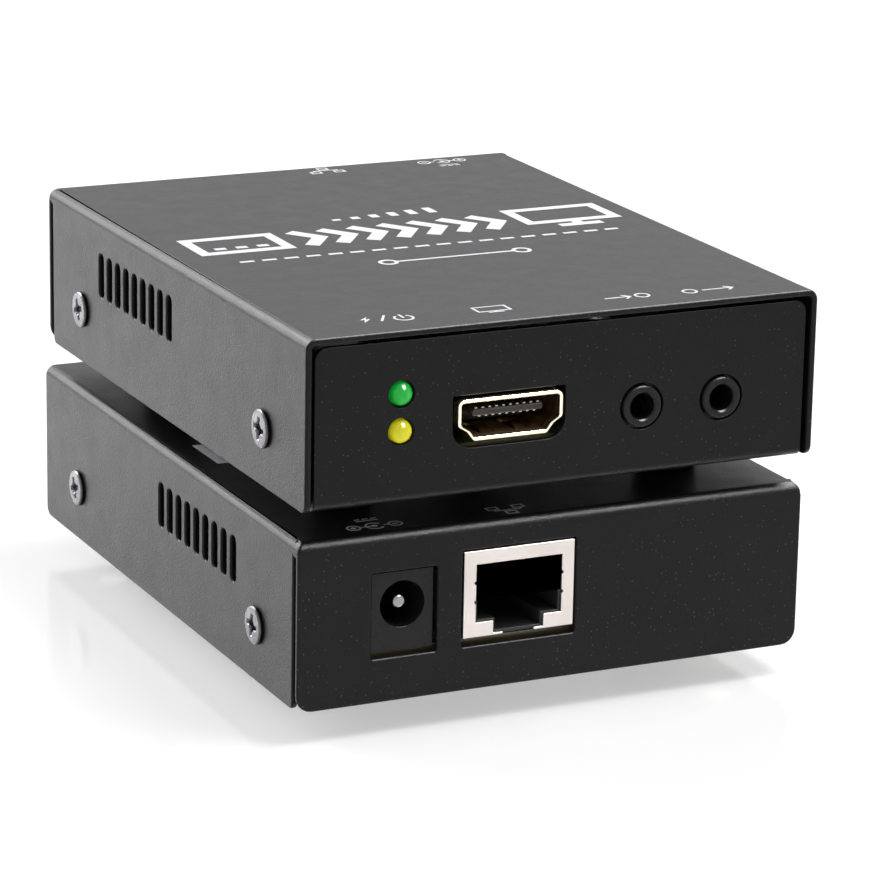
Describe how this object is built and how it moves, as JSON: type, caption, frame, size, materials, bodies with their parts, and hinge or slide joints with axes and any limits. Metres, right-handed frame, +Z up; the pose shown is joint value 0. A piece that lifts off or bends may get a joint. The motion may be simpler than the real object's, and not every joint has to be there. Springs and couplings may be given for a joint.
{
  "type": "hdmi extender",
  "caption": "Receiver and transmitter of a video extender, stacked: black folded steel cases with video, sound, network and power sockets.",
  "frame": {"origin": "middle of the stack's box, on the surface that the lower unit's feet stand on", "axes": "+Y from the receiver's video and sound end towards its power end, +Z up, +X to the right as seen from the receiver's video and sound end"},
  "size_m": [0.0764, 0.099, 0.0554],
  "materials": {
    "case_paint": "black powder coat with a fine grain",
    "panel_paint": "black powder coat with a fine grain",
    "screw_steel": "dark zinc plate",
    "foot_rubber": "matt",
    "board_laminate": "green solder resist over glass laminate",
    "standoff_brass": "nickel plate",
    "black_plastic": "moulded, satin",
    "green_lens": "tinted clear resin",
    "yellow_lens": "tinted clear resin",
    "gilt_shell": "thin gold plate, bright",
    "gilt_contact": "gold plate",
    "jack_plastic": "moulded, satin to gloss",
    "spring_steel": "nickel plate",
    "pin_plating": "nickel plate, bright",
    "tinned_shield": "satin tin plate",
    "chip_resin": "moulded resin",
    "sink_aluminium": "natural anodised",
    "coil_ferrite": "pressed ferrite",
    "can_aluminium": "bright",
    "can_steel": "nickel plate"
  },
  "bodies": {
    "transmitter": {"transmitter_cover": "case_paint", "transmitter_chassis": "panel_paint", "transmitter_cover_screws": "screw_steel", "transmitter_feet": "foot_rubber", "transmitter_circuit_board": "board_laminate", "transmitter_standoffs": "standoff_brass", "transmitter_board_screws": "screw_steel", "transmitter_light_holder": "black_plastic", "transmitter_green_light": "green_lens", "transmitter_yellow_light": "yellow_lens", "transmitter_video_shell": "gilt_shell", "transmitter_video_tongue": "black_plastic", "transmitter_video_contacts": "gilt_contact", "transmitter_left_jack": "jack_plastic", "transmitter_right_jack": "jack_plastic", "transmitter_jack_springs": "spring_steel", "transmitter_power_body": "jack_plastic", "transmitter_power_pin": "pin_plating", "transmitter_power_spring": "spring_steel", "transmitter_network_shield": "tinned_shield", "transmitter_network_housing": "black_plastic", "transmitter_network_contacts": "gilt_contact", "transmitter_main_chip": "chip_resin", "transmitter_heat_sink": "sink_aluminium", "transmitter_network_transformer": "chip_resin", "transmitter_power_coil": "coil_ferrite", "transmitter_capacitors": "can_aluminium", "transmitter_small_chips": "chip_resin", "transmitter_clock_crystal": "can_steel"},
    "receiver": {"receiver_cover": "case_paint", "receiver_chassis": "panel_paint", "receiver_cover_screws": "screw_steel", "receiver_feet": "foot_rubber", "receiver_circuit_board": "board_laminate", "receiver_standoffs": "standoff_brass", "receiver_board_screws": "screw_steel", "receiver_light_holder": "black_plastic", "receiver_green_light": "green_lens", "receiver_yellow_light": "yellow_lens", "receiver_video_shell": "gilt_shell", "receiver_video_tongue": "black_plastic", "receiver_video_contacts": "gilt_contact", "receiver_left_jack": "jack_plastic", "receiver_right_jack": "jack_plastic", "receiver_jack_springs": "spring_steel", "receiver_power_body": "jack_plastic", "receiver_power_pin": "pin_plating", "receiver_power_spring": "spring_steel", "receiver_network_shield": "tinned_shield", "receiver_network_housing": "black_plastic", "receiver_network_contacts": "gilt_contact", "receiver_main_chip": "chip_resin", "receiver_heat_sink": "sink_aluminium", "receiver_network_transformer": "chip_resin", "receiver_power_coil": "coil_ferrite", "receiver_capacitors": "can_aluminium", "receiver_small_chips": "chip_resin", "receiver_clock_crystal": "can_steel"}
  },
  "joints": [
    {"name": "receiver_lift", "type": "slide", "parent": "transmitter", "child": "receiver", "axis": [0, 0, 1], "range_m": [0, 0.08]}
  ]
}
